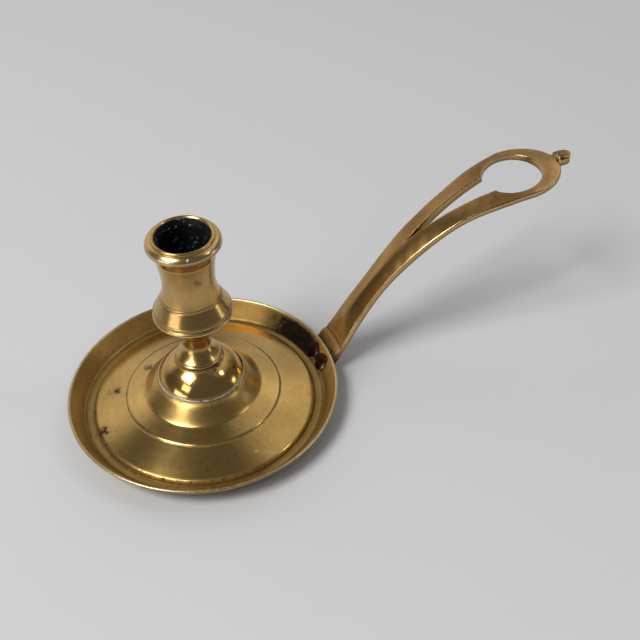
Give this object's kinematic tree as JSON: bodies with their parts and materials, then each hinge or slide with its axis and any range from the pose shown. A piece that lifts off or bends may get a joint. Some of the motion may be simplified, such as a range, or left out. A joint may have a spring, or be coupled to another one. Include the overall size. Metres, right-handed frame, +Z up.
{
  "type": "chamber candlestick",
  "caption": "Brass chamber candlestick: a round drip pan with a turned candle socket on a domed foot and a long curved handle that ends in a finger loop.",
  "frame": {"origin": "on the table plane, under the middle of the object's length and on its plane of symmetry", "axes": "+X from the pan out along the handle, +Z up along the candle, +Y to the left when looking along +X"},
  "size_m": [0.2424, 0.12, 0.0952],
  "materials": {
    "pan_brass": "polished, worn",
    "turned_brass": "polished",
    "handle_brass": "satin, tarnished",
    "rivet_copper": "dull, dark",
    "iron": "dull"
  },
  "bodies": {
    "root": {"drip_pan": "pan_brass", "stem_foot": "turned_brass", "candle_socket": "turned_brass", "stem_washer": "iron", "stem_nut": "iron", "handle": "handle_brass", "handle_rivet_left": "rivet_copper", "handle_rivet_right": "rivet_copper"}
  },
  "joints": []
}
